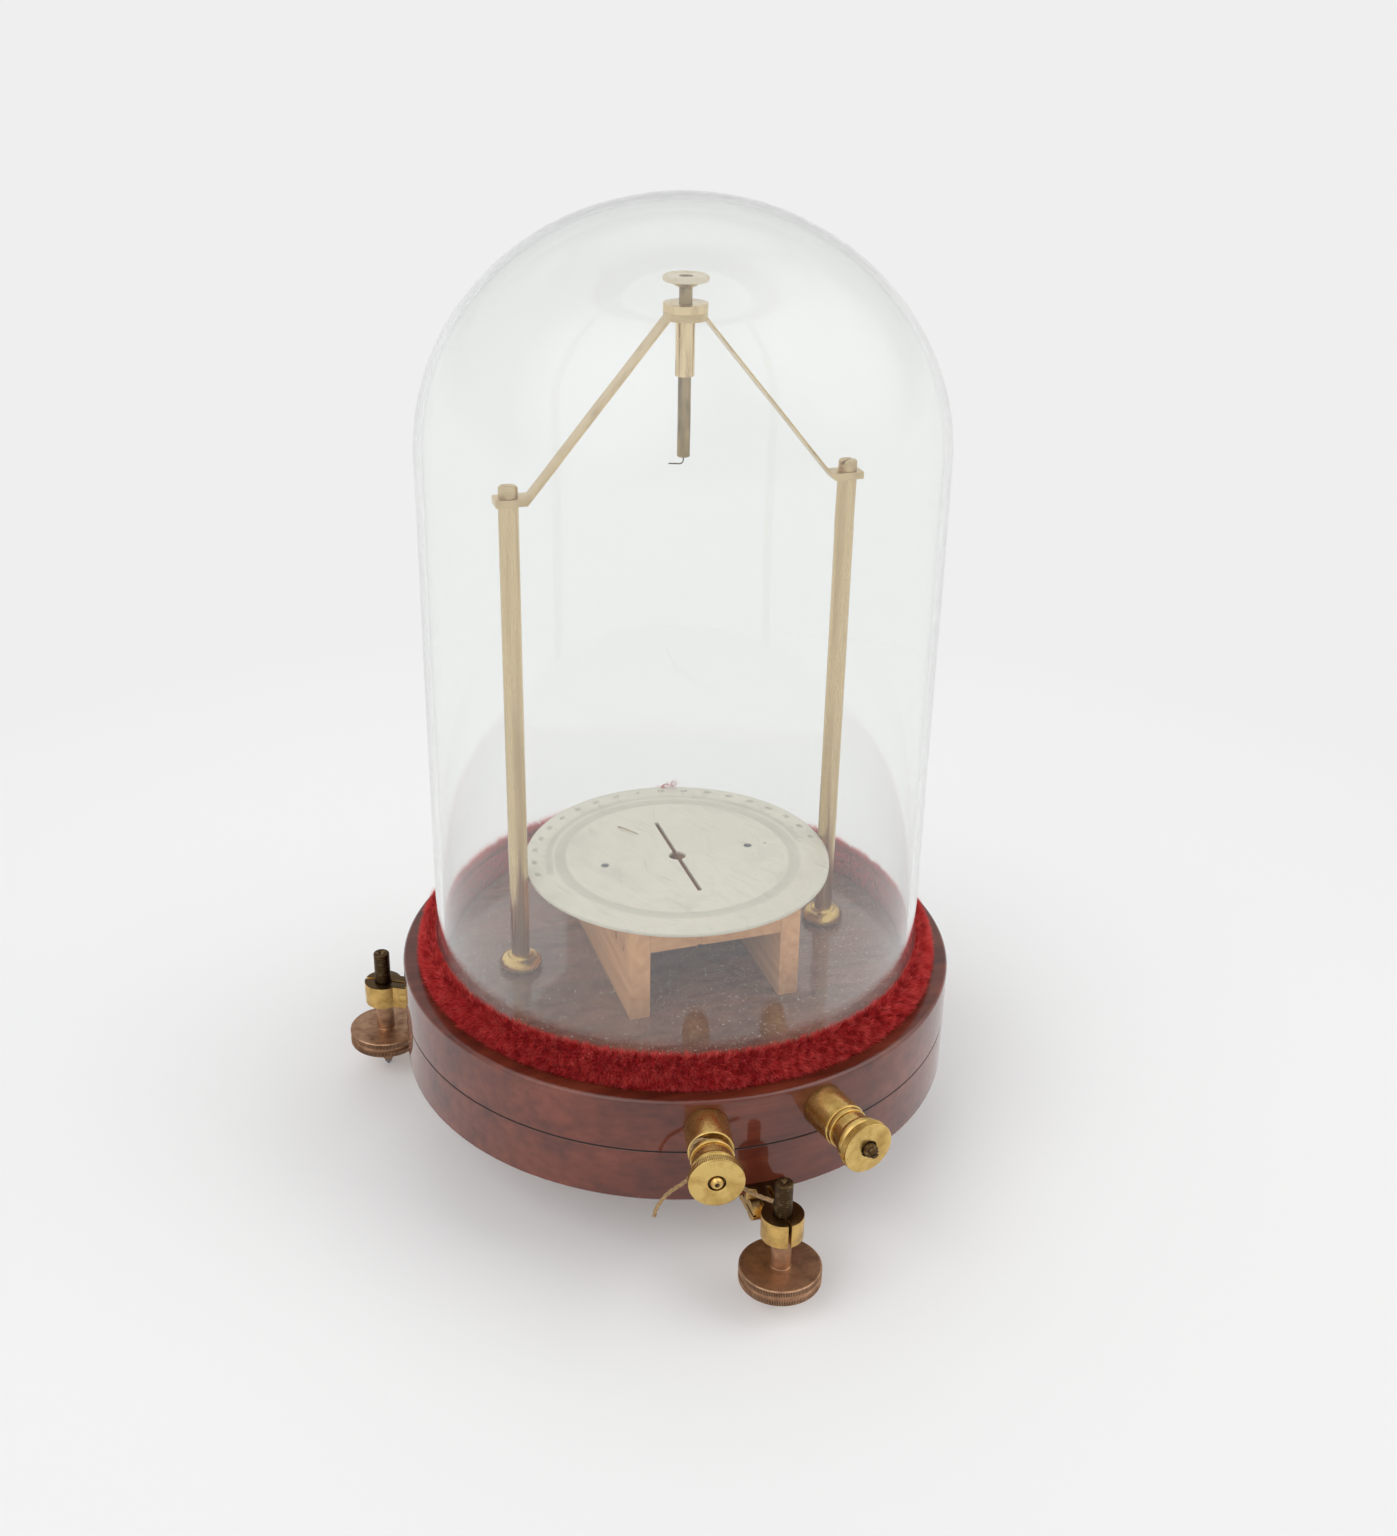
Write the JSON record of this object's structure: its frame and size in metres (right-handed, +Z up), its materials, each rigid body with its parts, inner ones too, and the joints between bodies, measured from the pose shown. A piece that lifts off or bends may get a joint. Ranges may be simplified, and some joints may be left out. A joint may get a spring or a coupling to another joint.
{
  "type": "astatic galvanometer",
  "caption": "Astatic galvanometer under a glass dome: silvered dial on a coil bench, a brass gallows with a suspension rod, side terminals and levelling screws.",
  "frame": {"origin": "on the dome's axis, on the table under the three steel points", "axes": "+Z up along the dome's axis, +X from the left pillar to the right one, -Y towards the terminals"},
  "size_m": [0.2068, 0.2075, 0.307],
  "materials": {
    "mahogany": "french polished mahogany, red-brown",
    "boxwood": "planed pale fruitwood, dull wax",
    "glass": "clear blown glass",
    "crimson_plush": "crimson chenille pile",
    "silvered_brass": "matt chemically silvered, slightly scratched",
    "lacquered_brass": "satin lacquered brass",
    "polished_brass": "polished lacquered brass",
    "aged_brass": "brown oxidised brass",
    "bronzed_brass": "coppery brown tarnished brass",
    "steel": "turned steel",
    "string": "tan twisted string",
    "covered_wire": "cotton covered copper wire"
  },
  "bodies": {
    "base": {"base_upper_disc": "mahogany", "base_lower_disc": "mahogany", "base_screws": "aged_brass", "plush_ring": "crimson_plush", "dial": "silvered_brass", "dial_screws": "aged_brass", "bench_top_board": "boxwood", "bench_screws": "aged_brass", "pillar_nuts": "aged_brass", "gallows_strip": "lacquered_brass", "suspension_bush": "lacquered_brass", "tie_string_left": "string", "tie_string_right": "string", "tang_screws": "aged_brass", "bench_board_left": "boxwood", "pillar_left": "lacquered_brass", "pillar_foot_left": "polished_brass", "pillar_screw_left": "lacquered_brass", "terminal_post_left": "polished_brass", "terminal_stud_left": "aged_brass", "lead_wire_left": "covered_wire", "bench_board_right": "boxwood", "pillar_right": "lacquered_brass", "pillar_foot_right": "polished_brass", "pillar_screw_right": "lacquered_brass", "terminal_post_right": "polished_brass", "terminal_stud_right": "aged_brass", "lead_wire_right": "covered_wire", "foot_bracket_front": "lacquered_brass", "foot_bracket_right": "lacquered_brass", "foot_bracket_left": "lacquered_brass"},
    "dome": {"glass_dome": "glass"},
    "rod": {"suspension_rod": "aged_brass"},
    "knob": {"suspension_knob": "lacquered_brass", "suspension_hook": "aged_brass"},
    "washer_left": {"terminal_washer_left": "polished_brass"},
    "nut_left": {"terminal_nut_left": "polished_brass"},
    "washer_right": {"terminal_washer_right": "polished_brass"},
    "nut_right": {"terminal_nut_right": "polished_brass"},
    "point_front": {"foot_point_front": "steel"},
    "screw_front": {"levelling_screw_front": "bronzed_brass"},
    "pinch_front": {"pinch_screw_front": "aged_brass"},
    "point_right": {"foot_point_right": "steel"},
    "screw_right": {"levelling_screw_right": "bronzed_brass"},
    "pinch_right": {"pinch_screw_right": "aged_brass"},
    "point_left": {"foot_point_left": "steel"},
    "screw_left": {"levelling_screw_left": "bronzed_brass"},
    "pinch_left": {"pinch_screw_left": "aged_brass"}
  },
  "joints": [
    {"name": "dome_lift", "type": "slide", "parent": "base", "child": "dome", "axis": [0, 0, 1], "range_m": [0, 0.25]},
    {"name": "rod_height", "type": "slide", "parent": "base", "child": "rod", "axis": [0, 0, 1], "range_m": [-0.0045, 0.016]},
    {"name": "knob_turn", "type": "hinge", "parent": "rod", "child": "knob", "pos_m": [0, 0, 0.283], "axis": [0, 0, 1], "continuous": true},
    {"name": "nut_left_travel", "type": "slide", "parent": "base", "child": "washer_left", "axis": [-0.2045, -0.9789, 0], "range_m": [-0.0003, 0.005]},
    {"name": "nut_left_turn", "type": "hinge", "parent": "washer_left", "child": "nut_left", "pos_m": [-0.02209, -0.10572, 0.0577], "axis": [-0.2045, -0.9789, 0], "range_deg": [-144, 2400]},
    {"name": "nut_right_travel", "type": "slide", "parent": "base", "child": "washer_right", "axis": [0.2045, -0.9789, 0], "range_m": [0, 0.006]},
    {"name": "nut_right_turn", "type": "hinge", "parent": "washer_right", "child": "nut_right", "pos_m": [0.02209, -0.10572, 0.0577], "axis": [0.2045, -0.9789, 0], "range_deg": [0, 2880]},
    {"name": "foot_front_height", "type": "slide", "parent": "base", "child": "point_front", "axis": [0, 0, 1], "range_m": [-0.009, 0.0019]},
    {"name": "foot_front_turn", "type": "hinge", "parent": "point_front", "child": "screw_front", "pos_m": [0, -0.105, 0], "axis": [0, 0, 1], "range_deg": [-4320, 912]},
    {"name": "pinch_front_turn", "type": "hinge", "parent": "base", "child": "pinch_front", "pos_m": [0, -0.0964, 0.0311], "axis": [-1, 0, 0], "range_deg": [-45, 180]},
    {"name": "foot_right_height", "type": "slide", "parent": "base", "child": "point_right", "axis": [0, 0, 1], "range_m": [-0.009, 0.0019]},
    {"name": "foot_right_turn", "type": "hinge", "parent": "point_right", "child": "screw_right", "pos_m": [0.09093, 0.0525, 0], "axis": [0, 0, 1], "range_deg": [-4320, 912]},
    {"name": "pinch_right_turn", "type": "hinge", "parent": "base", "child": "pinch_right", "pos_m": [0.08349, 0.0482, 0.0311], "axis": [0.5, -0.866, 0], "range_deg": [-45, 180]},
    {"name": "foot_left_height", "type": "slide", "parent": "base", "child": "point_left", "axis": [0, 0, 1], "range_m": [-0.009, 0.0019]},
    {"name": "foot_left_turn", "type": "hinge", "parent": "point_left", "child": "screw_left", "pos_m": [-0.09093, 0.0525, 0], "axis": [0, 0, 1], "range_deg": [-4320, 912]},
    {"name": "pinch_left_turn", "type": "hinge", "parent": "base", "child": "pinch_left", "pos_m": [-0.08349, 0.0482, 0.0311], "axis": [0.5, 0.866, 0], "range_deg": [-45, 180]}
  ],
  "couplings": [
    {"joint": "nut_left_turn", "follows": "nut_left_travel", "rad_per_m": 8377.6},
    {"joint": "nut_right_turn", "follows": "nut_right_travel", "rad_per_m": 8377.6},
    {"joint": "foot_front_turn", "follows": "foot_front_height", "rad_per_m": 8377.6},
    {"joint": "foot_right_turn", "follows": "foot_right_height", "rad_per_m": 8377.6},
    {"joint": "foot_left_turn", "follows": "foot_left_height", "rad_per_m": 8377.6}
  ]
}
